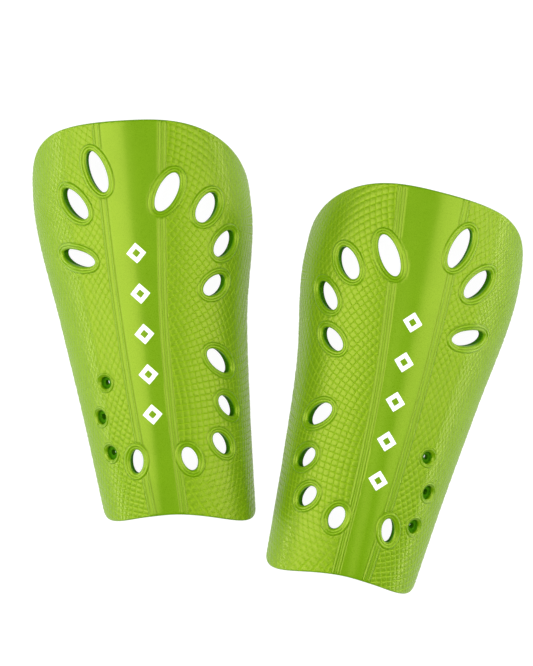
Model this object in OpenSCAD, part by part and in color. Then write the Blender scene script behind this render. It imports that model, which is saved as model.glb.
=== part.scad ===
// A pair of slip-in shin guards, lying arch up on a flat surface.
// Each guard is a perforated moulded shell with a foam backing and a knitted lining glued
// inside it, and five printed marks on its smooth band. The right guard mirrors the left one.
// +X is to the right, +Y towards the knee ends and +Z up. Millimetres.

/* [Guard] */
// Length of a guard along the middle of its band
guard_length = 211; // [195:1:225]
// Largest half width of a guard, at the calf
calf_half_width = 60; // [56:0.5:64]
// Height of the arch above its side edges at the knee end
arch_height = 41; // [36:0.5:46]
// How far the side edges rise off the surface at half length
edge_rise = 1.5; // [0:0.1:3]
// Depth of the rounding at the knee end's corners
knee_corner = 36; // [28:1:40]
// Depth of the rounding at the ankle end's corners
ankle_corner = 13; // [8:1:16]

/* [Layers] */
// Thickness of the moulded shell
shell_wall = 2; // [1.6:0.1:2.4]
// Thickness of the foam backing
foam_wall = 2.6; // [2:0.1:4]
// Thickness of the knitted lining
lining_wall = 0.5; // [0.4:0.1:1]
// Share of the foam's thickness that is left at its rim
foam_rim = 0.45; // [0.3:0.05:0.8]
// Thickness of the printed marks
print_wall = 0.2; // [0.1:0.05:0.3]

/* [Printed marks] */
// Width of a mark, across the band
mark_width = 10.5; // [8:0.5:12]
// Length of a mark, along the band
mark_length = 11; // [8:0.5:12]
// Width of a mark's stroke
mark_stroke = 2.2; // [1.5:0.1:2.6]
// Distance from one mark to the next
mark_pitch = 21.5; // [18:0.1:23]

/* [Lie of the pair] */
// Turn of the left guard, anticlockwise
left_turn = 5.5; // [0:0.5:12]
// Turn of the right guard, clockwise
right_turn = 12; // [0:0.5:12]
// How far the pair relaxes out of square: rise of a guard's left side per unit of width
skew = 0.04; // [0:0.01:0.06]

/* [Hidden] */

left_centre = [-68.57, 22.19];
right_centre = [61.03, -13.31];

// Arch sides as fractions: [place along the guard, share of the largest half width].
// The place runs from -1 at the ankle end to 1 at the knee end.
outer_side = [[-1, 0.615], [-0.5, 0.72], [0, 0.845], [0.55, 0.985], [1, 0.945]];
inner_side = [[-1, 0.775], [-0.5, 0.812], [0, 0.87], [0.5, 1], [1, 0.945]];
// Arch height: [place along the guard, share of the height at the knee end]
crest = [[-1, 0.71], [-0.5, 0.79], [0, 0.88], [0.5, 0.97], [1, 1]];
// Fullness of the arch's outer and inner sides: 2 is an ellipse, more is a squarer shoulder
fullness = [2, 2.8];
// Share of the full dome that the arch covers before its side edges cut it off
dome_reach = 0.98;
// Powers of the rounding at the knee end's outer and inner corners and at the ankle end
knee_power = [4, 2.5];
ankle_power = 4;
// How far the ankle end's two lobes reach past its middle, outer and inner
ankle_lobe = [7.5, 12];

// Openings: [x, y, length, width, turn of the long axis], on the guard's own axes
slots = [
    [-20, 79.5, 23.5, 10, 108],
    [16.5, 66.5, 23, 10, 58],
    [-34, 63.5, 21, 10, 130],
    [37, 57.5, 19, 10.5, 50],
    [44.5, 38, 18.5, 10, 40],
    [-35.5, 34.5, 22, 8.5, 163],
    [37, 16, 16, 9, 30],
    [35.5, -24.5, 17.5, 9.5, 140],
    [37.5, -49, 14, 8.5, 135],
    [32.5, -69, 13.5, 8.5, 128],
    [14.5, -76, 13, 8.2, 107],
    [-14.5, -76, 13, 8, 79]];
// Round vents: [x, y, diameter]
vents = [[-27, -33, 6.5], [-31.5, -51.5, 7.5], [-28, -71, 7.5]];
// Diameter of a vent's hole through the foam and lining, as a share of the vent's
foam_vent_share = 0.45;
cutter_reach = 12;
slot_sides = 32;

// Middle of the third mark, on the guard's own axes
mark_centre = [-3, -8];
// Cells between the outline and the part of the face that takes the marks
mark_margin = 7;

columns = 20;
rows = 30;
// Share of the guard's length in the narrow first and last row
rim_row = 0.0095;
half_length = guard_length / 2;
step = 0.01;

// Smooth curve through the points of p, read at u
function slope(p, i) =
    let (a = max(i - 1, 0), b = min(i + 1, len(p) - 1))
    (p[b][1] - p[a][1]) / (p[b][0] - p[a][0]);
function span(p, u, i = 0) = (i >= len(p) - 2 || u < p[i + 1][0]) ? i : span(p, u, i + 1);
function curve(p, u) =
    let (i = span(p, u), w = p[i + 1][0] - p[i][0], t = (u - p[i][0]) / w)
    p[i][1] * (1 + 2 * t) * (1 - t) * (1 - t) + p[i + 1][1] * t * t * (3 - 2 * t)
    + w * t * (1 - t) * (slope(p, i) * (1 - t) - slope(p, i + 1) * t);

// The outer face: s runs from -1 at the outer side edge to 1 at the inner one
function place(y) = y / half_length;
function half_width(s, y) = calf_half_width * curve(s < 0 ? outer_side : inner_side, place(y));
function dome(u, power) = pow(1 - pow(u, power), 1 / power);
function arch(s) =
    let (power = fullness[s < 0 ? 0 : 1], rim = dome(dome_reach, power))
    (dome(abs(s) * dome_reach, power) - rim) / (1 - rim);
function side_z(y) = edge_rise * (1 - place(y) * place(y));
// $lean is the rise of y for each unit of x, set where a guard is placed
function face(s, y) =
    let (x = s * half_width(s, y))
    [x, y + $lean * x, side_z(y) + arch_height * curve(crest, place(y)) * arch(s)];
function normal(s, y) =
    let (a = s > 0 ? s - step : s,
         across = face(a + step, y) - face(a, y),
         along = face(s, y + step) - face(s, y - step),
         n = cross(across, along))
    n / norm(n);
function inside(s, y, depth) = face(s, y) - normal(s, y) * depth;

// The two ends of the outline, as y for a given s
function rounding(s, power) = 1 - pow(1 - pow(abs(s), power), 1 / power);
function knee_y(s) = half_length - knee_corner * rounding(s, knee_power[s < 0 ? 0 : 1]);
function ankle_y(s) =
    -half_length + ankle_corner * rounding(s, ankle_power) - ankle_lobe[s < 0 ? 0 : 1] * s * s;

// The grid that all layers share, so that their faces meet exactly
function grid_s(i) = sin(-90 + 180 * i / columns);
function grid_t(j) =
    j == 0 ? 0 : j == rows ? 1 : rim_row + (1 - 2 * rim_row) * (j - 1) / (rows - 2);
function grid_y(s, j) = ankle_y(s) + (knee_y(s) - ankle_y(s)) * grid_t(j);
// The edges of the foam and the lining are one cell in from the shell's
function at_rim(i, j) = i <= 1 || i >= columns - 1 || j <= 1 || j >= rows - 1;
function layer_point(i, j, depth, foam_share) =
    let (s = grid_s(i), foam = at_rim(i, j) ? foam_rim : 1)
    inside(s, grid_y(s, j), depth + foam_wall * foam_share * foam);

// How far the lowest edge lies under z = 0 before a guard is set down
function lift() =
    -min([for (i = [0, columns], j = [0:rows]) layer_point(i, j, shell_wall, 0)[2]]);

// A layer between two depths, over columns c0 to c1 and rows r0 to r1.
// foam_top and foam_base are the shares of the foam's wall that lie above its two faces.
module layer(top, base, foam_top, foam_base, c0, c1, r0, r1) {
    nc = c1 - c0 + 1;
    nr = r1 - r0 + 1;
    n = nc * nr;
    upper = [for (j = [r0:r1], i = [c0:c1]) layer_point(i, j, top, foam_top)];
    lower = [for (j = [r0:r1], i = [c0:c1]) layer_point(i, j, base, foam_base)];
    cells = [for (j = [0:nr - 2], i = [0:nc - 2]) j * nc + i];
    ends = [for (i = [0:nc - 2]) i];
    sides = [for (j = [0:nr - 2]) j * nc];
    last = n - nc;
    polyhedron(concat(upper, lower), concat(
        [for (k = cells) [k, k + nc, k + nc + 1]],
        [for (k = cells) [k, k + nc + 1, k + 1]],
        [for (k = cells) [n + k, n + k + nc + 1, n + k + nc]],
        [for (k = cells) [n + k, n + k + 1, n + k + nc + 1]],
        [for (k = ends) [k, k + 1, n + k + 1]],
        [for (k = ends) [k, n + k + 1, n + k]],
        [for (k = ends) [last + k, n + last + k + 1, last + k + 1]],
        [for (k = ends) [last + k, n + last + k, n + last + k + 1]],
        [for (k = sides) [k, n + k + nc, k + nc]],
        [for (k = sides) [k, n + k, n + k + nc]],
        [for (k = sides) [k + nc - 1, k + 2 * nc - 1, n + k + 2 * nc - 1]],
        [for (k = sides) [k + nc - 1, n + k + 2 * nc - 1, n + k + nc - 1]]));
}

// Puts a child on the outer face at (x, y), with its z along the face's normal
module on_face(x, y) {
    s = x / half_width(x, y);
    n = normal(s, y);
    across = cross([0, 1, 0], n);
    e = across / norm(across);
    f = cross(n, e);
    p = face(s, y);
    multmatrix([[e[0], f[0], n[0], p[0]], [e[1], f[1], n[1], p[1]], [e[2], f[2], n[2], p[2]]])
        children();
}

module slot_cutter(length, width) {
    linear_extrude(2 * cutter_reach, center = true)
        polygon([for (k = [0:slot_sides - 1])
            [length / 2 * cos(360 * k / slot_sides), width / 2 * sin(360 * k / slot_sides)]]);
}

module perforated(vent_share) {
    difference() {
        children();
        for (o = slots)
            on_face(o[0], o[1]) rotate([0, 0, o[4]]) slot_cutter(o[2], o[3]);
        for (v = vents)
            on_face(v[0], v[1]) slot_cutter(v[2] * vent_share, v[2] * vent_share);
    }
}

module shell() {
    perforated(1) layer(0, shell_wall, 0, 0, 0, columns, 0, rows);
}

module foam_backing() {
    perforated(foam_vent_share) layer(shell_wall, shell_wall, 0, 1, 1, columns - 1, 1, rows - 1);
}

module lining() {
    perforated(foam_vent_share)
        layer(shell_wall, shell_wall + lining_wall, 1, 1, 1, columns - 1, 1, rows - 1);
}

module diamond() {
    polygon([[mark_width / 2, 0], [0, mark_length / 2], [-mark_width / 2, 0], [0, -mark_length / 2]]);
}

module mark_outline() {
    difference() {
        diamond();
        offset(delta = -mark_stroke) diamond();
    }
}

module print_marks() {
    intersection() {
        layer(-print_wall, 0, 0, 0,
            mark_margin, columns - mark_margin, mark_margin, rows - mark_margin);
        for (k = [-2:2])
            translate([mark_centre[0], mark_centre[1] + k * mark_pitch, 0])
                linear_extrude(2 * arch_height) mark_outline();
    }
}

module left_place() {
    $lean = -skew;
    translate([left_centre[0], left_centre[1], lift()]) rotate([0, 0, left_turn]) children();
}

module right_place() {
    $lean = skew;
    translate([right_centre[0], right_centre[1], lift()]) rotate([0, 0, -right_turn])
        mirror([1, 0, 0]) children();
}

module left_shell() { color([0.55, 0.72, 0.06]) left_place() shell(); }
module left_foam_backing() { color([0.2, 0.4, 0.03]) left_place() foam_backing(); }
module left_lining() { color([0.1, 0.22, 0.06]) left_place() lining(); }
module left_print_marks() { color("white") left_place() print_marks(); }
module right_shell() { color([0.55, 0.72, 0.06]) right_place() shell(); }
module right_foam_backing() { color([0.2, 0.4, 0.03]) right_place() foam_backing(); }
module right_lining() { color([0.1, 0.22, 0.06]) right_place() lining(); }
module right_print_marks() { color("white") right_place() print_marks(); }

left_shell();
left_foam_backing();
left_lining();
left_print_marks();
right_shell();
right_foam_backing();
right_lining();
right_print_marks();
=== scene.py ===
"""Looks of a pair of slip-in shin guards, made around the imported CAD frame.

Each guard is drawn on its unrolled face: u is the arc length across it from the middle of the
band and v the place along it, both in millimetres. The outline, the mouths of the openings, their
moulded rims, the band's borders and the scale lattice are points on that flat sheet. They are
triangulated there once, then bent onto each guard's face and raised or sunk by the relief.
"""
import math

import bpy
import numpy as np
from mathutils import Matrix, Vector
from mathutils.geometry import delaunay_2d_cdt
from mathutils.kdtree import KDTree


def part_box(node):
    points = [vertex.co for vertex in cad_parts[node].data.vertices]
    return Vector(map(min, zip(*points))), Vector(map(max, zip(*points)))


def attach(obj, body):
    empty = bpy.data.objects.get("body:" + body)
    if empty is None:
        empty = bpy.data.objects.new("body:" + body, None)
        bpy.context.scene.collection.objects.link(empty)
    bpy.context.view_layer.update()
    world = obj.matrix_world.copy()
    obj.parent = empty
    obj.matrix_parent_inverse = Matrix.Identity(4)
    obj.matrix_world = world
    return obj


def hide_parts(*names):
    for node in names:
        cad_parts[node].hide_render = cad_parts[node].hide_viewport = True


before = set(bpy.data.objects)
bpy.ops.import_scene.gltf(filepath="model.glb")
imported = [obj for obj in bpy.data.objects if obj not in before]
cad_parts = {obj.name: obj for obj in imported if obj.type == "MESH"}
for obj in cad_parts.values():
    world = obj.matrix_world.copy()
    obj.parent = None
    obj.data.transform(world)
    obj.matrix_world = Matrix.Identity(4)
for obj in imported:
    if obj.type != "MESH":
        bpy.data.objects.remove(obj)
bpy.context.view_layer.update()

MM = 0.001

# The guard's face, in millimetres, with the sizes that part.scad gives it
HALF_LENGTH = 105.5
CALF_HALF_WIDTH = 60
ARCH_HEIGHT = 41
EDGE_RISE = 1.5
KNEE_CORNER = 36
ANKLE_CORNER = 13
ANKLE_LOBE = {-1: 7.5, 1: 12}
KNEE_POWER = {-1: 4, 1: 2.5}
ANKLE_POWER = 4
OUTER_SIDE = [(-1, 0.615), (-0.5, 0.72), (0, 0.845), (0.55, 0.985), (1, 0.945)]
INNER_SIDE = [(-1, 0.775), (-0.5, 0.812), (0, 0.87), (0.5, 1), (1, 0.945)]
CREST = [(-1, 0.71), (-0.5, 0.79), (0, 0.88), (0.5, 0.97), (1, 1)]
FULLNESS = {-1: 2, 1: 2.8}
DOME_REACH = 0.98
SHELL_WALL = 2
FOAM_WALL = 2.6
FOAM_RIM = 0.45
LINING_WALL = 0.5
SKEW = 0.04
GUARDS = {
    "left": dict(turn=5.5, lean=-SKEW, mirror=1),
    "right": dict(turn=-12, lean=SKEW, mirror=-1),
}
# Openings: x, y, length, width, turn of the long axis, share of a full rim's width
OPENINGS = [
    (-20, 79.5, 23.5, 10, 108, 1),
    (16.5, 66.5, 23, 10, 58, 1),
    (-34, 63.5, 21, 10, 130, 1),
    (37, 57.5, 19, 10.5, 50, 1),
    (44.5, 38, 18.5, 10, 40, 1),
    (-35.5, 34.5, 22, 8.5, 163, 1),
    (37, 16, 16, 9, 30, 1),
    (35.5, -24.5, 17.5, 9.5, 140, 1),
    (37.5, -49, 14, 8.5, 135, 1),
    (32.5, -69, 13.5, 8.5, 128, 1),
    (14.5, -76, 13, 8.2, 107, 1),
    (-14.5, -76, 13, 8, 79, 1),
    (-27, -33, 6.5, 6.5, 0, 0.6),
    (-31.5, -51.5, 7.5, 7.5, 0, 0.6),
    (-28, -71, 7.5, 7.5, 0, 0.6),
]

# Relief, as (distance, height) pairs. A rim is read outwards from its opening's mouth, a border
# inwards from either edge of the strip beside the band, and the edge inwards from the outline.
RIM = [(0, -0.95), (0.3, -0.5), (0.75, -0.2), (1.35, -0.02), (1.6, -0.3), (1.85, 0.05),
       (2.2, 0.3), (2.65, 0.36), (3.05, 0.26), (3.35, 0), (3.6, -0.28), (3.9, 0)]
BORDER = [(-0.7, 0), (-0.35, -0.28), (0, 0.08), (0.35, 0.3), (0.7, 0.08), (0.97, -0.2), (1.35, 0)]
EDGE = [(0, -0.8), (0.12, -0.45), (0.35, -0.18), (0.8, 0)]
RIM_REACH = RIM[-1][0]
# Width of the band from its middle to its border, along v, and width of the strip beside it
BAND_EDGE = {-1: [(-1, 6.4), (-0.5, 11.2), (0, 14.5), (0.4, 15.8), (1, 16.4)],
             1: [(-1, 7), (-0.5, 5.5), (0, 6.4), (0.5, 10.6), (1, 16)]}
STRIP_WIDTH = {-1: 3.7, 1: 3.3}
# The band's crown: its height, its middle, and its reach past the band's mean half width
BAND_CROWN = 0.7
CROWN_MIDDLE = -7
CROWN_REACH = 4
# A soft shoulder on the outer wing: its distance from the middle along v, and its height
SHOULDER = [(-0.7, 26), (-0.36, 27), (0.24, 33), (0.8, 37)]
SHOULDER_HEIGHT = 0.6
# Half the width of its rise, and where its fall outwards ends
SHOULDER_RISE = 2.5
SHOULDER_FALL = 18
# Where it sets in above the ankle, and where it halves towards the knee
SHOULDER_START = (-85, -60)
SHOULDER_EASE = (40, 90)
# Scale lattice of each wing: pitch, and the directions of its two sets of grooves along v
PITCH = {-1: 3, 1: 3.3}
RISING = {-1: [(-1, 12), (-0.5, 45), (-0.1, 58), (0.4, 53), (0.7, 36), (1, 42)],
          1: [(-1, 14), (-0.6, 7), (-0.25, 10), (0.1, 33), (0.45, 50), (1, 88)]}
FALLING = {-1: [(-1, 105), (-0.5, 112), (-0.1, 118), (0.2, 125), (0.4, 126), (0.7, 107), (1, 106)],
           1: [(-1, 52), (-0.6, 85), (-0.25, 101), (0.1, 122), (0.45, 131), (1, 158)]}
WING_MIDDLE = {-1: 28, 1: 25}
FLANK_SHRINK = 0.0035
GROOVE_DEPTH = 0.25
GROOVE_SHARE = 0.14
CELL_STEPS = [0, 0.07, 0.14, 0.5, 0.86, 0.93]
# How far from the strip and from the outline the scales fade in
SCALES_FROM_STRIP = (0.45, 0.85)
SCALES_FROM_EDGE = (0.2, 0.8)
# Nets of points on the sheet, from low to high u and from low to high v, and their pitch: one to
# find each wing's scales, and one for the plain faces with its distance from their edges
WING_NET = (4, 100, -122, 112, 0.8)
PLAIN_NET = (-92, 92, -120, 110, 2.6)
PLAIN_NET_GAP = 0.8
# The band's net: shares of its half width, and the pitch along it
BAND_NET = (0.15, 0.35, 0.55, 0.72, 0.86)
BAND_NET_PITCH = 0.9
# How far from the strip, the outline and the rims the scales' points stop
NET_FROM_STRIP = 0.75
NET_FROM_EDGE = 0.25
NET_FROM_RIM = 0.15
# Edges that turn by more degrees than this look sharp
SHARP_TURN = 55

# Printed marks
MARK_WIDTH, MARK_LENGTH, MARK_STROKE, MARK_PITCH = 10.5, 11, 2.2, 21.5
MARK_CENTRE = (-3, -8)
# The film's height, how deep its underside reaches below the band, and the share of its stroke
# over which its top rounds off
PRINT_WALL = 0.15
PRINT_ROOT = 0.3
PRINT_BEVEL = 0.06
# How far a diamond's sides bulge, as a share of its size
MARK_BULGE = 0.012

# The foam and lining stop short of the shell's outline, and thin towards their own
FOAM_INSET = 2.5
FOAM_TAPER = 8
# How far the foam's openings stand back from the shell's, and a vent's share through the foam
FOAM_STEP = 0.35
FOAM_VENT_SHARE = 0.45
# Room for the glue on either side of the foam
FOAM_GLUE = 0.02
LINING_GLUE = 0.01
# The knit's columns and rows, the foam's cells, and the millimetres in one unit of the sheet map
WALE, COURSE = 1.1, 0.8
FOAM_CELL = 0.45
SHEET_UNIT = 100

# The camera looks straight down; the view's height is what it takes in on the floor
CAMERA_OVER = (-5.97, 14.59)
CAMERA_HEIGHT = 1050
VIEW_HEIGHT = 366.3
SENSOR_HEIGHT = 36
# The floor, as its own light where white is 1 and as half its side in metres
FLOOR_GLOW = 0.97
FLOOR_REACH = 6
# The dim room's light: its strength near the horizon and overhead, and the heights between which
# it fades, as the upward share of the direction
ROOM_LIGHT, ROOF_LIGHT = 0.3, 0
ROOM_FADE = (0.3, 0.8)
# Two softboxes with a dark gap straight above, and a low strip beyond each side: name, place, what
# it faces, size in metres along the guards and at right angles to that, and power in watts
LIGHTS = [
    ("softbox_left", (-0.97, 0, 1.18), (-0.07, 0, 0), (1.2, 1.8), 35),
    ("softbox_right", (1.05, 0, 1.13), (0.07, 0, 0), (1.2, 1.8), 28),
    ("strip_left", (-1.3, 0, 0.085), (0, 0, 0.085), (1.8, 0.17), 9),
    ("strip_right", (1.3, 0, 0.085), (0, 0, 0.085), (1.8, 0.17), 9),
]


# ---------------------------------------------------------------- the guard's face

def curve(points, u):
    """A smooth curve through points, read at u, as part.scad reads it."""
    p = np.array(points, float)
    last = len(p) - 1
    slopes = np.array([(p[min(i + 1, last), 1] - p[max(i - 1, 0), 1])
                       / (p[min(i + 1, last), 0] - p[max(i - 1, 0), 0]) for i in range(last + 1)])
    i = np.clip(np.searchsorted(p[:, 0], u, side="right") - 1, 0, last - 1)
    w = p[i + 1, 0] - p[i, 0]
    t = (u - p[i, 0]) / w
    ends = p[i, 1] * (1 + 2 * t) * (1 - t) ** 2 + p[i + 1, 1] * t * t * (3 - 2 * t)
    return ends + w * t * (1 - t) * (slopes[i] * (1 - t) - slopes[i + 1] * t)


def by_side(s, values):
    """The outer or the inner side's value, for each s."""
    return np.where(s < 0, values[-1], values[1])


def half_width(s, y):
    place = y / HALF_LENGTH
    return CALF_HALF_WIDTH * np.where(s < 0, curve(OUTER_SIDE, place), curve(INNER_SIDE, place))


def dome(u, power):
    return (1 - u ** power) ** (1 / power)


def face(s, y, lean=0.0):
    place = y / HALF_LENGTH
    power = by_side(s, FULLNESS)
    rim = dome(DOME_REACH, power)
    arch = (dome(np.abs(s) * DOME_REACH, power) - rim) / (1 - rim)
    x = s * half_width(s, y)
    z = EDGE_RISE * (1 - place ** 2) + ARCH_HEIGHT * curve(CREST, place) * arch
    return np.stack([x, y + lean * x, z], -1)


def normal(s, y, lean=0.0, step=0.01):
    a = np.where(s > 0, s - step, s)
    across = face(a + step, y, lean) - face(a, y, lean)
    along = face(s, y + step, lean) - face(s, y - step, lean)
    n = np.cross(across, along)
    return n / np.linalg.norm(n, axis=-1, keepdims=True)


def rounding(s, power):
    return 1 - (1 - np.abs(s) ** power) ** (1 / power)


def knee_y(s):
    return HALF_LENGTH - KNEE_CORNER * rounding(s, by_side(s, KNEE_POWER))


def ankle_y(s):
    return -HALF_LENGTH + ANKLE_CORNER * rounding(s, ANKLE_POWER) - by_side(s, ANKLE_LOBE) * s * s


# ---------------------------------------------------------------- the unrolled face

# Where the face is measured: places along it, past both of its ends, and shares of a half width
STATIONS = np.linspace(-HALF_LENGTH - 14, HALF_LENGTH + 2, 141)
SHARES = np.linspace(0, 1, 401)


def arc_table(side):
    s, y = np.meshgrid(side * SHARES, STATIONS)
    # the side's own formula holds at the crest too, so s = 0 is nudged off the middle
    s[:, 0] = side * 1e-9
    steps = np.linalg.norm(np.diff(face(s, y), axis=1), axis=2)
    return np.concatenate([np.zeros((len(STATIONS), 1)), np.cumsum(steps, axis=1)], axis=1)


ARCS = {side: arc_table(side) for side in (-1, 1)}


def station(v):
    t = (v - STATIONS[0]) / (STATIONS[1] - STATIONS[0])
    row = np.clip(t.astype(int), 0, len(STATIONS) - 2)
    return row, t - row


def unroll(s, y):
    """From the face's (s, y) to the flat sheet's (u, v)."""
    row, f = station(y)
    column = np.clip(np.abs(s) * (len(SHARES) - 1), 0, len(SHARES) - 1.001)
    c = column.astype(int)
    g = column - c
    u = np.zeros_like(s, dtype=float)
    for side in (-1, 1):
        a = ARCS[side]
        low = a[row, c] * (1 - g) + a[row, c + 1] * g
        high = a[row + 1, c] * (1 - g) + a[row + 1, c + 1] * g
        u = np.where(np.sign(s) == side, side * (low * (1 - f) + high * f), u)
    return np.stack([u, y], -1)


def roll(uv):
    """From the flat sheet's (u, v) back to the face's (s, y)."""
    u, v = uv[:, 0], uv[:, 1]
    row, f = station(v)
    s = np.zeros(len(uv))
    for side in (-1, 1):
        for k in range(len(STATIONS) - 1):
            here = (row == k) & (np.sign(u) == side)
            if here.any():
                low = np.interp(np.abs(u[here]), ARCS[side][k], SHARES)
                high = np.interp(np.abs(u[here]), ARCS[side][k + 1], SHARES)
                s[here] = side * (low * (1 - f[here]) + high * f[here])
    return s, v


def resample(loop, spacing):
    """A closed loop's points, evenly spaced."""
    closed = np.concatenate([loop, loop[:1]])
    reach = np.concatenate([[0], np.cumsum(np.linalg.norm(np.diff(closed, axis=0), axis=1))])
    count = int(round(reach[-1] / spacing))
    at = np.arange(count) * reach[-1] / count
    return np.stack([np.interp(at, reach, closed[:, k]) for k in (0, 1)], -1)


def outline_loop(spacing=0.6, inset=0.0):
    """The guard's outline on the flat sheet, anticlockwise, moved inwards by inset."""
    ends = np.sin(np.radians(np.linspace(-90, 90, 361)))
    rise = np.linspace(0, 1, 400)[1:-1]
    one = np.ones(1)
    low, high = ankle_y(one)[0], knee_y(one)[0]
    right = unroll(np.ones_like(rise), low + (high - low) * rise)
    low, high = ankle_y(-one)[0], knee_y(-one)[0]
    left = unroll(-np.ones_like(rise), high + (low - high) * rise)
    bottom = unroll(ends, ankle_y(ends))
    top = unroll(ends[::-1], knee_y(ends[::-1]))
    loop = resample(np.concatenate([bottom, right, top, left]), spacing)
    tangent = np.roll(loop, -1, axis=0) - np.roll(loop, 1, axis=0)
    inwards = np.stack([-tangent[:, 1], tangent[:, 0]], -1)
    return loop + inset * inwards / np.linalg.norm(inwards, axis=1, keepdims=True)


# ---------------------------------------------------------------- openings

class Mouth:
    """An opening's elliptical mouth on the flat sheet."""

    def __init__(self, x, y, length, width, turn, rim):
        at = np.array([float(y)])
        s = np.array([float(x)]) / half_width(np.array([float(x)]), at)
        self.centre = unroll(s, at)[0]
        self.a, self.b, self.rim = length / 2, width / 2, rim
        self.soft = FOAM_STEP if rim == 1 else (FOAM_VENT_SHARE - 1) * self.a
        t = math.radians(turn)
        self.axes = np.array([[math.cos(t), math.sin(t)], [-math.sin(t), math.cos(t)]])

    def ring(self, distance, spacing=0.6):
        """Points at a distance outside the mouth."""
        around = 2 * math.pi * math.sqrt((self.a ** 2 + self.b ** 2) / 2) + 2 * math.pi * distance
        phi = np.arange(int(around / spacing)) * 2 * math.pi / int(around / spacing)
        out = np.stack([np.cos(phi) / self.a, np.sin(phi) / self.b], -1)
        out /= np.linalg.norm(out, axis=1, keepdims=True)
        local = np.stack([self.a * np.cos(phi), self.b * np.sin(phi)], -1) + distance * out
        return self.centre + local @ self.axes

    def distance(self, uv):
        """Signed distance of points from the mouth, negative inside it.

        Each round replaces the ellipse by the circle that fits it at the nearest point so far."""
        local = (uv - self.centre) @ self.axes.T
        x, y = np.abs(local[:, 0]), np.abs(local[:, 1])
        c = np.full(len(uv), math.sqrt(0.5))
        d = c.copy()
        for _ in range(8):
            ex = (self.a ** 2 - self.b ** 2) * c ** 3 / self.a
            ey = (self.b ** 2 - self.a ** 2) * d ** 3 / self.b
            r = np.hypot(self.a * c - ex, self.b * d - ey)
            q = np.maximum(np.hypot(x - ex, y - ey), 1e-9)
            c = np.clip(((x - ex) * r / q + ex) / self.a, 0, 1)
            d = np.clip(((y - ey) * r / q + ey) / self.b, 0, 1)
            size = np.maximum(np.hypot(c, d), 1e-9)
            c, d = c / size, d / size
        gap = np.hypot(x - self.a * c, y - self.b * d)
        inside = (x / self.a) ** 2 + (y / self.b) ** 2 < 1
        return np.where(inside, -gap, gap)


MOUTHS = [Mouth(*opening) for opening in OPENINGS]


def rim_distance(uv):
    """Distance from the nearest mouth, as a full-width rim counts it."""
    return np.min([m.distance(uv) / m.rim for m in MOUTHS], axis=0)


def mouth_gap(uv):
    """Distance from the nearest mouth, in millimetres."""
    return np.min([m.distance(uv) for m in MOUTHS], axis=0)


OUTLINE = outline_loop(0.3)
OUTLINE_TREE = KDTree(len(OUTLINE))
for index, point in enumerate(OUTLINE.tolist()):
    OUTLINE_TREE.insert((*point, 0), index)
OUTLINE_TREE.balance()


def segment_gap(uv, start, end):
    along = end - start
    t = np.clip(((uv - start) * along).sum(axis=1) / (along ** 2).sum(axis=1), 0, 1)
    return np.linalg.norm(uv - start - t[:, None] * along, axis=1)


def edge_gap(uv):
    """Distance from the guard's outline."""
    near = np.array([OUTLINE_TREE.find((u, v, 0))[1] for u, v in uv.tolist()])
    here, ahead, behind = OUTLINE[near], OUTLINE[(near + 1) % len(OUTLINE)], OUTLINE[near - 1]
    return np.minimum(segment_gap(uv, here, ahead), segment_gap(uv, behind, here))


def on_guard(uv):
    """Whether points lie within the outline."""
    s, y = roll(uv)
    return (np.abs(s) < 0.9999) & (y > ankle_y(s)) & (y < knee_y(s))


# ---------------------------------------------------------------- band and scales

def band_edge(side, v):
    """Where the band meets the strip on one side, as a distance from the middle."""
    return curve(BAND_EDGE[side], np.clip(v / HALF_LENGTH, -1.05, 1))


def strip_place(uv):
    """Each point's distance from the middle, and where the strip on its side starts and ends."""
    v = uv[:, 1]
    inner = by_side(uv[:, 0], {side: band_edge(side, v) for side in (-1, 1)})
    return np.abs(uv[:, 0]), inner, inner + by_side(uv[:, 0], STRIP_WIDTH)


def smooth(low, high, x):
    t = np.clip((x - low) / (high - low), 0, 1)
    return t * t * (3 - 2 * t)


def heights(profile, at):
    p = np.array(profile)
    return np.interp(at, p[:, 0], p[:, 1])


def direction_table(points):
    """Along v: the sine of a set of grooves' direction, and the sum of its cosine."""
    angle = np.radians(curve(points, STATIONS / HALF_LENGTH))
    step = STATIONS[1] - STATIONS[0]
    total = np.concatenate([[0], np.cumsum((np.cos(angle[1:]) + np.cos(angle[:-1])) / 2 * step)])
    return np.sin(angle), total


DIRECTIONS = {side: (direction_table(RISING[side]), direction_table(FALLING[side]))
              for side in (-1, 1)}


def lattice(side, uv):
    """The two lattice coordinates of a wing: a groove lies where either is whole."""
    across = np.abs(uv[:, 0]) - WING_MIDDLE[side]
    across = across * (1 + FLANK_SHRINK * across)
    both = []
    for sine, total in DIRECTIONS[side]:
        both.append((np.interp(uv[:, 1], STATIONS, total)
                     - across * np.interp(uv[:, 1], STATIONS, sine)) / PITCH[side])
    return np.stack(both, -1)


def grid(low_u, high_u, low_v, high_v, pitch):
    """A square net of points on the flat sheet."""
    u, v = np.meshgrid(np.arange(low_u, high_u, pitch), np.arange(low_v, high_v, pitch))
    return np.stack([u.ravel(), v.ravel()], -1)


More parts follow.
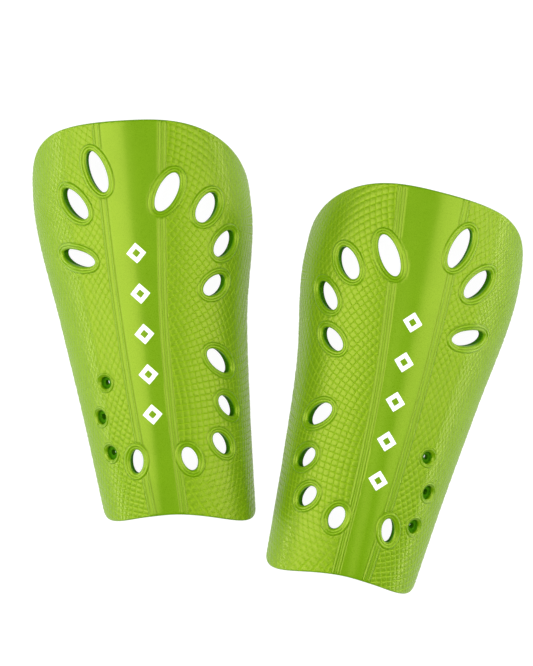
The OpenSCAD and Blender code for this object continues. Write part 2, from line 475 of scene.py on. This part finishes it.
def lattice_points(side):
    """Points that outline each scale's grooves, shoulders and top."""
    seed = grid(*WING_NET) * (side, 1)
    cells, index = np.unique(np.floor(lattice(side, seed)), axis=0, return_inverse=True)
    counts = np.bincount(index.ravel())
    centre = np.stack([np.bincount(index.ravel(), seed[:, k]) / counts for k in (0, 1)], -1)
    share = np.array([(a, b) for a in CELL_STEPS for b in CELL_STEPS])
    target = (cells[:, None, :] + share[None]).reshape(-1, 2)
    # from each cell's middle, Newton's steps lead to the wanted lattice coordinates
    at = np.repeat(centre, len(share), axis=0)
    nudge = 0.01
    for _ in range(8):
        here = lattice(side, at)
        du = (lattice(side, at + (nudge, 0)) - here) / nudge
        dv = (lattice(side, at + (0, nudge)) - here) / nudge
        miss = target - here
        det = du[:, 0] * dv[:, 1] - du[:, 1] * dv[:, 0]
        det = np.where(np.abs(det) < 1e-4, 1e-4, det)
        move = np.stack([(miss[:, 0] * dv[:, 1] - miss[:, 1] * dv[:, 0]) / det,
                         (miss[:, 1] * du[:, 0] - miss[:, 0] * du[:, 1]) / det], -1)
        at = at + np.clip(move, -3, 3)
    found = np.abs(lattice(side, at) - target).max(axis=1) < 0.02
    at = at[found & (at[:, 0] * side > 0)]
    u, _, outer = strip_place(at)
    return at[u > outer + NET_FROM_STRIP]


def border_points():
    """Lines along both edges of the strips beside the band, and a net over the band."""
    v = np.arange(-HALF_LENGTH - 12, HALF_LENGTH + 1, BAND_NET_PITCH)
    points = []
    for side in (-1, 1):
        inner = band_edge(side, v)
        lines = [inner + offset for offset, _ in BORDER]
        lines += [inner + STRIP_WIDTH[side] - offset for offset, _ in BORDER]
        lines += [inner * share for share in BAND_NET]
        points += [np.stack([side * u, v], -1) for u in lines]
    return np.concatenate(points)


def shoulder(uv):
    """Height of the soft shoulder: a quick rise outwards, then a long fall to the side edge."""
    v = uv[:, 1]
    out = -uv[:, 0] - curve(SHOULDER, np.clip(v / HALF_LENGTH, -1, 1))
    fade = smooth(*SHOULDER_START, v) * (1 - 0.5 * smooth(*SHOULDER_EASE, v))
    rise = smooth(-SHOULDER_RISE, SHOULDER_RISE, out)
    return SHOULDER_HEIGHT * rise * (1 - smooth(SHOULDER_RISE, SHOULDER_FALL, out)) * fade


def relief(uv, edge):
    """Height of the shell's surface over the plain face, and what the materials need of it."""
    u, inner, outer = strip_place(uv)
    rim_at = rim_distance(uv)
    clear = smooth(RIM_REACH - 0.5, RIM_REACH, rim_at)
    strip_at = np.minimum(u - inner, outer - u)
    band = heights(BORDER, strip_at) * clear
    reach = (band_edge(-1, uv[:, 1]) + band_edge(1, uv[:, 1])) / 2 + CROWN_REACH
    crown = BAND_CROWN * np.clip(1 - ((uv[:, 0] - CROWN_MIDDLE) / reach) ** 2, 0, None) ** 2
    top = np.zeros(len(uv))
    for side in (-1, 1):
        share = np.abs((lattice(side, uv) + 0.5) % 1 - 0.5).min(axis=1)
        top = np.where(np.sign(uv[:, 0]) == side, smooth(0, GROOVE_SHARE, share), top)
    wing = smooth(*SCALES_FROM_STRIP, u - outer) * clear * smooth(*SCALES_FROM_EDGE, edge)
    scales = -GROOVE_DEPTH * (1 - top) * wing
    rims = heights(RIM, rim_at)
    height = crown + shoulder(uv) + band + scales + rims + heights(EDGE, edge)
    # painted shade: how far the border and rim grooves sink, which darkens their colour as painted
    # shade
    painted_groove_shade = np.clip(-(band + rims) / 0.2, 0, 1) * (rim_at > RIM[3][0])
    return height, dict(top=top * wing + (1 - wing), wing=wing, rim=1 - clear, painted_groove_shade=painted_groove_shade)


# ---------------------------------------------------------------- meshes

def thin_out(points, gap=0.1):
    """Drops points that fall in a cell that already has one."""
    _, first = np.unique(np.floor(points / gap).astype(int), axis=0, return_index=True)
    return points[np.sort(first)]


def doubled_area(a, b, c):
    """Twice the area of flat triangles, above 0 where they run anticlockwise."""
    return (b[:, 0] - a[:, 0]) * (c[:, 1] - a[:, 1]) - (b[:, 1] - a[:, 1]) * (c[:, 0] - a[:, 0])


def triangulate(loops, points):
    """Points and triangles of a flat sheet bounded by its first loop, open inside the others.

    Every loop runs anticlockwise, and all but the first are convex."""
    edges, owner = [], []
    for number, loop in enumerate(loops):
        ids = len(owner) + np.arange(len(loop))
        edges += np.stack([ids, np.roll(ids, -1)], -1).tolist()
        owner += [number] * len(loop)
    owner = np.array(owner + [-1] * len(points))
    flat = np.concatenate(loops + [points])
    made = delaunay_2d_cdt([Vector(p) for p in flat.tolist()], edges, [], 0, 1e-5, True)
    uv = np.array([tuple(p) for p in made[0]])
    source = np.array([ids[0] for ids in made[3]])
    tris = np.array(made[2])
    # between three points of one loop lies a hole, or a bay of the outline if they run clockwise
    order = np.sort(source[tris], axis=1)
    loop_of = owner[order]
    one_loop = (loop_of[:, 0] == loop_of[:, 1]) & (loop_of[:, 1] == loop_of[:, 2])
    bay = doubled_area(*(flat[order[:, k]] for k in range(3))) < 0
    tris = tris[~(one_loop & ((loop_of[:, 0] > 0) | (loop_of[:, 0] == 0) & bay))]
    turned = doubled_area(*(uv[tris[:, k]] for k in range(3))) < 0
    tris = np.where(turned[:, None], tris[:, ::-1], tris)
    used = np.unique(tris)
    place = np.zeros(len(uv), int)
    place[used] = np.arange(len(used))
    return uv[used], place[tris]


def shell_loops():
    return [outline_loop()] + [m.ring(0) for m in MOUTHS]


def soft_loops():
    """The loops that bound the foam and the lining."""
    return [outline_loop(inset=FOAM_INSET)] + [m.ring(m.soft) for m in MOUTHS]


def fine_points():
    """Points for the shell's outer face: rims, bevelled edge, scales, strips and band."""
    rings = [m.ring(d * m.rim) for m in MOUTHS for d, _ in RIM[1:]]
    insets = [outline_loop(inset=d) for d, _ in EDGE[1:]]
    nets = np.concatenate([lattice_points(-1), lattice_points(1), border_points()])
    nets = nets[on_guard(nets)]
    nets = nets[rim_distance(nets) > RIM_REACH + NET_FROM_RIM]
    nets = nets[edge_gap(nets) > EDGE[-1][0] + NET_FROM_EDGE]
    rings = np.concatenate(rings)
    rings = rings[on_guard(rings)]
    rings = rings[mouth_gap(rings) > 0.1]
    insets = np.concatenate(insets)
    insets = insets[rim_distance(insets) > RIM_REACH]
    return thin_out(np.concatenate([rings, insets, nets]))


def coarse_points(inset):
    """Points for the plain faces, clear of the openings and of the outline moved inwards."""
    net = grid(*PLAIN_NET)
    net = net[on_guard(net)]
    return net[(mouth_gap(net) > PLAIN_NET_GAP) & (edge_gap(net) > inset + PLAIN_NET_GAP)]


def boundary(tris):
    """The directed edges that only one triangle uses."""
    edges = np.concatenate([tris[:, [0, 1]], tris[:, [1, 2]], tris[:, [2, 0]]])
    key = edges.min(axis=1) * (edges.max() + 1) + edges.max(axis=1)
    _, index, count = np.unique(key, return_index=True, return_counts=True)
    return edges[index[count == 1]]


def bend(uv, height, guard):
    """Puts flat points on a guard's face in the world, in metres, raised by height."""
    s, y = roll(uv)
    p = face(s, y, guard["lean"]) + normal(s, y, guard["lean"]) * height[:, None]
    p[:, 0] *= guard["mirror"]
    t = math.radians(guard["turn"])
    x = p[:, 0] * math.cos(t) - p[:, 1] * math.sin(t) + guard["centre"][0]
    y = p[:, 0] * math.sin(t) + p[:, 1] * math.cos(t) + guard["centre"][1]
    return np.stack([x, y, p[:, 2] + guard["lift"]], -1) * MM


def corner_normals(verts, tris):
    """Normals led by the largest triangles around each corner, so that flat tops look flat."""
    a, b, c = (verts[tris[:, k]] for k in range(3))
    area = np.cross(b - a, c - a)
    total = np.zeros_like(verts)
    for k in range(3):
        np.add.at(total, tris[:, k], area)
    return (total / np.linalg.norm(total, axis=1, keepdims=True).clip(1e-15))[tris.ravel()]


def add_mesh(name, verts, tris, flip, uv, values, face_count):
    """Adds a mesh piece. Its first face_count triangles are its outer face."""
    mesh = bpy.data.meshes.new(name)
    tris = tris[:, ::-1] if flip else tris
    mesh.vertices.add(len(verts))
    mesh.vertices.foreach_set("co", verts.astype(np.float32).ravel())
    mesh.loops.add(tris.size)
    mesh.loops.foreach_set("vertex_index", tris.astype(np.int32).ravel())
    mesh.polygons.add(len(tris))
    mesh.polygons.foreach_set("loop_start", np.arange(0, tris.size, 3, dtype=np.int32))
    mesh.update(calc_edges=True)
    layer = mesh.uv_layers.new(name="sheet")
    layer.data.foreach_set("uv", (uv[tris.ravel()] / SHEET_UNIT).astype(np.float32).ravel())
    for key, value in values.items():
        attribute = mesh.attributes.new(key, "FLOAT", "POINT")
        attribute.data.foreach_set("value", value.astype(np.float32))
    mesh.shade_smooth()
    mesh.set_sharp_from_angle(angle=math.radians(SHARP_TURN))
    mesh.validate()
    if face_count:
        # a zero normal leaves a corner's shading as it is
        normals = np.zeros((tris.size, 3))
        normals[:3 * face_count] = corner_normals(verts, tris[:face_count])
        mesh.normals_split_custom_set(normals)
    piece = bpy.data.objects.new(name, mesh)
    bpy.context.collection.objects.link(piece)
    return piece


def closed_piece(name, guard, top, base, wall_shares, values=None, wall_values=None):
    """A closed solid between two sheets that share their boundary points.

    top and base are (uv, triangles, heights). The wall's rows lie at shares of the way down."""
    top_uv, top_tris, top_height = top
    base_uv, base_tris, base_height = base
    rim = boundary(top_tris)
    rim_ids = np.unique(rim)
    found = {tuple(p): i for i, p in enumerate(np.round(base_uv, 4).tolist())}
    under = np.array([found[tuple(p)] for p in np.round(top_uv[rim_ids], 4).tolist()])
    above = bend(top_uv, top_height, guard)
    below = bend(base_uv, base_height, guard)
    parts, uvs = [above, below], [top_uv, base_uv]
    rows = [np.full(len(top_uv), -1)]
    rows[0][rim_ids] = rim_ids
    start = len(above) + len(below)
    for share in wall_shares:
        row_height = top_height[rim_ids] * (1 - share) + base_height[under] * share
        parts.append(bend(top_uv[rim_ids], row_height, guard))
        uvs.append(top_uv[rim_ids])
        row = np.full(len(top_uv), -1)
        row[rim_ids] = start + np.arange(len(rim_ids))
        rows.append(row)
        start += len(rim_ids)
    last = np.full(len(top_uv), -1)
    last[rim_ids] = len(above) + under
    rows.append(last)
    tris = [top_tris, base_tris[:, ::-1] + len(above)]
    for up, down in zip(rows, rows[1:]):
        a, b = rim[:, 0], rim[:, 1]
        tris.append(np.stack([up[b], up[a], down[a]], -1))
        tris.append(np.stack([up[b], down[a], down[b]], -1))
    extra = {}
    for key in values or {}:
        fill = (wall_values or {}).get(key, 0.0)
        extra[key] = np.concatenate([values[key], np.full(start - len(above), fill)])
    return add_mesh(name, np.concatenate(parts), np.concatenate(tris), guard["mirror"] < 0,
                    np.concatenate(uvs), extra, len(top_tris) if values else 0)


# ---------------------------------------------------------------- pieces

def place_guards():
    """Sets each guard down where its CAD shell lies."""
    loop = outline_loop()
    for side, guard in GUARDS.items():
        guard.update(centre=(0, 0), lift=0)
        edge = bend(loop, np.zeros(len(loop)), guard) / MM
        under = bend(loop, np.full(len(loop), -SHELL_WALL), guard) / MM
        low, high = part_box(side + "_shell")
        middle = (edge.min(axis=0) + edge.max(axis=0)) / 2
        guard["centre"] = tuple((low[k] + high[k]) / 2 / MM - middle[k] for k in (0, 1))
        guard["lift"] = low[2] / MM - under[:, 2].min()


def make_shell(side, outer, inner):
    uv, tris = outer
    edge = edge_gap(uv)
    height, values = relief(uv, edge)
    base = (*inner, np.full(len(inner[0]), -float(SHELL_WALL)))
    values["wall"] = np.zeros(len(uv))
    piece = closed_piece(side + "_moulded_shell", GUARDS[side], (uv, tris, height), base, [0.5],
                         values, dict(top=1, wing=0, rim=0, wall=1, painted_groove_shade=0))
    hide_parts(side + "_shell")
    return piece


def foam_base(edge):
    """Height of the foam's underside, from the distance to its outline."""
    return -SHELL_WALL - FOAM_WALL * (FOAM_RIM + (1 - FOAM_RIM) * smooth(0, FOAM_TAPER, edge))


def make_foam(side, sheet):
    uv, tris = sheet
    top = (uv, tris, np.full(len(uv), -SHELL_WALL - FOAM_GLUE))
    base = (uv, tris, foam_base(edge_gap(uv) - FOAM_INSET))
    piece = closed_piece(side + "_foam", GUARDS[side], top, base, [0.15, 0.4, 0.6, 0.85])
    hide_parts(side + "_foam_backing")
    return piece


def make_lining(side, sheet):
    uv, tris = sheet
    edge = edge_gap(uv) - FOAM_INSET
    depth = foam_base(edge) - LINING_GLUE
    tuck = 1 - 0.6 * (1 - smooth(0, 0.8, np.minimum(edge, mouth_gap(uv))))
    piece = closed_piece(side + "_knitted_lining", GUARDS[side], (uv, tris, depth),
                         (uv, tris, depth - LINING_WALL * tuck), [0.5])
    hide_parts(side + "_lining")
    return piece


def diamond_loop(size, middle, spacing=0.5):
    corners = np.array([(0.5, 0), (0, 0.5), (-0.5, 0), (0, -0.5)]) * (MARK_WIDTH, MARK_LENGTH) * size
    sides = []
    for a, b in zip(corners, np.roll(corners, -1, axis=0)):
        steps = int(np.linalg.norm(b - a) / spacing)
        share = np.arange(steps)[:, None] / steps
        # the sides bulge by a hair, so that the loop is convex everywhere
        bulge = 1 + MARK_BULGE * np.sin(math.pi * share)
        sides.append((a * (1 - share) + b * share) * bulge)
    return np.concatenate(sides) + middle


def make_marks(side):
    """The five printed diamonds, as one film that follows the band."""
    pieces = []
    # the hollow is the same diamond, smaller by the stroke's width all round
    across = 2 * math.hypot(MARK_WIDTH, MARK_LENGTH) / (MARK_WIDTH * MARK_LENGTH)
    hollow = 1 - MARK_STROKE * across
    for k in range(-2, 3):
        middle = np.array(MARK_CENTRE) + (0, k * MARK_PITCH)
        loops = [diamond_loop(1, middle), diamond_loop(hollow, middle)]
        steps = (PRINT_BEVEL, 0.3, 0.5, 0.7, 1 - PRINT_BEVEL)
        nets = [diamond_loop(hollow * (1 - t) + t, middle) for t in steps]
        uv, tris = triangulate(loops, np.concatenate(nets))
        size = np.abs((uv - middle) / (MARK_WIDTH, MARK_LENGTH)).sum(axis=1) * 2
        share = (size - hollow) / (1 - hollow)
        film = PRINT_WALL * smooth(0, PRINT_BEVEL, np.minimum(share, 1 - share))
        ground = relief(uv, edge_gap(uv))[0]
        pieces.append(closed_piece(f"{side}_mark_{k + 3}", GUARDS[side], (uv, tris, ground + film),
                                   (uv, tris, ground - PRINT_ROOT), []))
    bpy.ops.object.select_all(action="DESELECT")
    for piece in pieces:
        piece.select_set(True)
    bpy.context.view_layer.objects.active = pieces[0]
    bpy.ops.object.join()
    pieces[0].name = side + "_printed_marks"
    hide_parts(side + "_print_marks")
    return pieces[0]


# ---------------------------------------------------------------- materials

class Shader:
    """A material's nodes, made and joined in short calls."""

    def __init__(self, name, **settings):
        self.material = bpy.data.materials.new(name)
        self.material.use_nodes = True
        self.tree = self.material.node_tree
        self.bsdf = self.tree.nodes["Principled BSDF"]
        for key, value in settings.items():
            self.bsdf.inputs[key.replace("_", " ")].default_value = value

    def add(self, kind, inputs=None, **options):
        node = self.tree.nodes.new("ShaderNode" + kind)
        for key, value in options.items():
            setattr(node, key, value)
        for key, value in (inputs or {}).items():
            self.put(node.inputs[key], value)
        return node

    def put(self, socket, value):
        if isinstance(value, bpy.types.NodeSocket):
            self.tree.links.new(value, socket)
        else:
            socket.default_value = value

    def attribute(self, name):
        return self.add("Attribute", attribute_name=name).outputs["Fac"]

    def math(self, operation, a, b):
        return self.add("Math", {0: a, 1: b}, operation=operation).outputs[0]

    def remap(self, value, low, high, to_low=0.0, to_high=1.0):
        ends = {"From Min": low, "From Max": high, "To Min": to_low, "To Max": to_high}
        return self.add("MapRange", {"Value": value, **ends}, clamp=True).outputs[0]

    def mix(self, share, a, b):
        node = self.add("Mix", data_type="RGBA")
        for socket, value in zip((node.inputs[0], node.inputs[6], node.inputs[7]), (share, a, b)):
            self.put(socket, value)
        return node.outputs[2]

    def place(self):
        return self.add("TexCoord").outputs["Object"]

    def noise(self, size, detail=3.0):
        """Noise between 0 and 1 whose grains are about size millimetres."""
        inputs = {"Vector": self.place(), "Scale": 1 / (size * MM), "Detail": detail}
        return self.add("TexNoise", inputs).outputs[0]

    def bump(self, height, distance, before=None):
        """A bump of some distance in millimetres, on top of the one before."""
        inputs = {"Height": height, "Distance": distance * MM, "Strength": 1.0}
        if before is not None:
            inputs["Normal"] = before
        return self.add("Bump", inputs).outputs[0]

    def finish(self, **sockets):
        for key, value in sockets.items():
            self.put(self.bsdf.inputs[key.replace("_", " ")], value)
        return self.material


def rgb(red, green, blue):
    """A colour given as it looks on screen, 0 to 255, in the shader's linear light."""
    return (*[((c / 255 + 0.055) / 1.055) ** 2.4 if c > 10 else c / 3294.6
              for c in (red, green, blue)], 1)


def shell_material():
    s = Shader("lime_moulded_plastic", IOR=1.5, Specular_Tint=(1, 1, 0.2, 1))
    top, wing, rim, wall, painted_groove_shade = (s.attribute(key) for key in ("top", "wing", "rim", "wall", "painted_groove_shade"))
    broad = s.noise(14, 2)
    lime = s.mix(broad, rgb(88, 130, 2), rgb(95, 138, 3))
    scale = s.mix(s.noise(3.2, 2), rgb(88, 127, 4), rgb(101, 138, 9))
    groove = rgb(108, 146, 0)
    flat = s.remap(top, 0.25, 0.95)
    winged = s.mix(flat, groove, scale)
    colour = s.mix(wing, lime, winged)
    colour = s.mix(s.math("MULTIPLY", rim, 0.5), colour, rgb(99, 140, 4))
    # painted shade: the sunken border and rim grooves are painted darker
    colour = s.mix(s.math("MULTIPLY", painted_groove_shade, 0.6), colour, rgb(62, 100, 0))
    # painted shade: the openings' walls are painted a darker, deeper green than the face, for the
    # shade inside the openings
    colour = s.mix(wall, colour, rgb(66, 128, 0))
    grain = s.noise(0.35, 4)
    roughness = s.math("ADD", s.remap(grain, 0.3, 0.7, -0.04, 0.06), 0.28)
    roughness = s.math("ADD", roughness, s.remap(flat, 0, 1, 0.4, 0))
    normal = s.bump(broad, 0.08)
    normal = s.bump(grain, 0.004, normal)
    return s.finish(Base_Color=colour, Roughness=roughness, Normal=normal,
                    Specular_IOR_Level=s.remap(wall, 0, 1, 0.7, 0.05))


def foam_material():
    s = Shader("closed_cell_foam", IOR=1.45, Specular_IOR_Level=0.02)
    inputs = {"Vector": s.place(), "Scale": 1 / (FOAM_CELL * MM)}
    cells = s.add("TexVoronoi", inputs, feature="SMOOTH_F1").outputs["Distance"]
    colour = s.mix(s.noise(5), rgb(50, 106, 1), rgb(62, 122, 2))
    colour = s.mix(s.remap(cells, 0.2, 0.7), colour, rgb(38, 90, 1))
    roughness = s.remap(cells, 0, 0.8, 0.7, 0.95)
    return s.finish(Base_Color=colour, Roughness=roughness, Normal=s.bump(cells, 0.12))


def lining_material():
    s = Shader("knitted_lining", IOR=1.4, Specular_IOR_Level=0.02, Sheen_Weight=0.1,
               Sheen_Roughness=0.5, Sheen_Tint=(0.2, 0.8, 0.1, 1))
    sheet = s.add("SeparateXYZ", {0: s.add("UVMap", uv_map="sheet").outputs[0]})
    wale = s.math("PINGPONG", s.math("MULTIPLY", sheet.outputs[0], SHEET_UNIT / WALE), 0.5)
    course = s.math("ADD", s.math("MULTIPLY", sheet.outputs[1], SHEET_UNIT / COURSE),
                    s.math("MULTIPLY", wale, 1.6))
    loop = s.math("PINGPONG", course, 0.5)
    between = s.remap(wale, 0, 0.14)
    yarn = s.math("MULTIPLY", s.remap(loop, 0.02, 0.34), between)
    fuzz = s.noise(0.25, 4)
    # painted shade: the gaps between the knit's loops are painted near black
    colour = s.mix(yarn, rgb(12, 26, 6), s.mix(fuzz, rgb(30, 58, 16), rgb(50, 86, 28)))
    normal = s.bump(fuzz, 0.05, s.bump(yarn, 0.22))
    return s.finish(Base_Color=colour, Roughness=s.remap(fuzz, 0.3, 0.7, 0.75, 0.95), Normal=normal)


def print_material():
    s = Shader("white_printed_film", IOR=1.48)
    speckle = s.noise(0.5, 4)
    colour = s.mix(s.remap(speckle, 0.3, 0.7), rgb(236, 238, 232), rgb(250, 251, 248))
    return s.finish(Base_Color=colour, Roughness=s.remap(speckle, 0.3, 0.7, 0.32, 0.45),
                    Normal=s.bump(speckle, 0.015))


# ---------------------------------------------------------------- studio

def make_camera():
    camera = bpy.data.objects.new("camera", bpy.data.cameras.new("camera"))
    bpy.context.collection.objects.link(camera)
    camera.data.sensor_fit = "VERTICAL"
    camera.data.sensor_height = SENSOR_HEIGHT
    camera.data.lens = SENSOR_HEIGHT * CAMERA_HEIGHT / VIEW_HEIGHT
    camera.location = Vector((*CAMERA_OVER, CAMERA_HEIGHT)) * MM
    camera.data.clip_end = 10
    bpy.context.scene.camera = camera


def make_floor():
    mesh = bpy.data.meshes.new("floor")
    corners = [(x * FLOOR_REACH, y * FLOOR_REACH, 0) for x, y in ((-1, -1), (1, -1), (1, 1), (-1, 1))]
    mesh.from_pydata(corners, [], [(0, 1, 2, 3)])
    floor = bpy.data.objects.new("floor", mesh)
    bpy.context.collection.objects.link(floor)
    s = Shader("pale_floor", Roughness=0.9, Specular_IOR_Level=0.1, Base_Color=(0.13, 0.13, 0.13, 1),
               Emission_Color=(1, 1, 1, 1), Emission_Strength=FLOOR_GLOW)
    mesh.materials.append(s.material)


def add_light(name, place, aim, size, power):
    light = bpy.data.lights.new(name, "AREA")
    light.shape = "RECTANGLE"
    light.size, light.size_y = size
    light.energy = power
    lamp = bpy.data.objects.new(name, light)
    bpy.context.collection.objects.link(lamp)
    lamp.location = place
    lamp.rotation_euler = (Vector(aim) - Vector(place)).to_track_quat("-Z", "Y").to_euler()


def make_room():
    """The dim light all round, which fades out towards straight above."""
    world = bpy.data.worlds.new("studio")
    world.use_nodes = True
    tree = world.node_tree
    background = tree.nodes["Background"]
    direction = tree.nodes.new("ShaderNodeTexCoord")
    parts = tree.nodes.new("ShaderNodeSeparateXYZ")
    fade = tree.nodes.new("ShaderNodeMapRange")
    tree.links.new(direction.outputs["Generated"], parts.inputs[0])
    tree.links.new(parts.outputs["Z"], fade.inputs["Value"])
    for socket, value in zip(fade.inputs[1:5], (*ROOM_FADE, ROOM_LIGHT, ROOF_LIGHT)):
        socket.default_value = value
    tree.links.new(fade.outputs[0], background.inputs["Strength"])
    bpy.context.scene.world = world


make_camera()
place_guards()
outer = triangulate(shell_loops(), fine_points())
inner = triangulate(shell_loops(), coarse_points(0))
soft = triangulate(soft_loops(), coarse_points(FOAM_INSET))
looks = dict(shell=shell_material(), foam=foam_material(), lining=lining_material(),
             marks=print_material())
for side in GUARDS:
    pieces = dict(shell=make_shell(side, outer, inner), foam=make_foam(side, soft),
                  lining=make_lining(side, soft), marks=make_marks(side))
    for key, piece in pieces.items():
        piece.data.materials.clear()
        piece.data.materials.append(looks[key])
        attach(piece, side + "_guard")
make_floor()
for light in LIGHTS:
    add_light(*light)
make_room()
bpy.context.scene.view_settings.view_transform = "Standard"
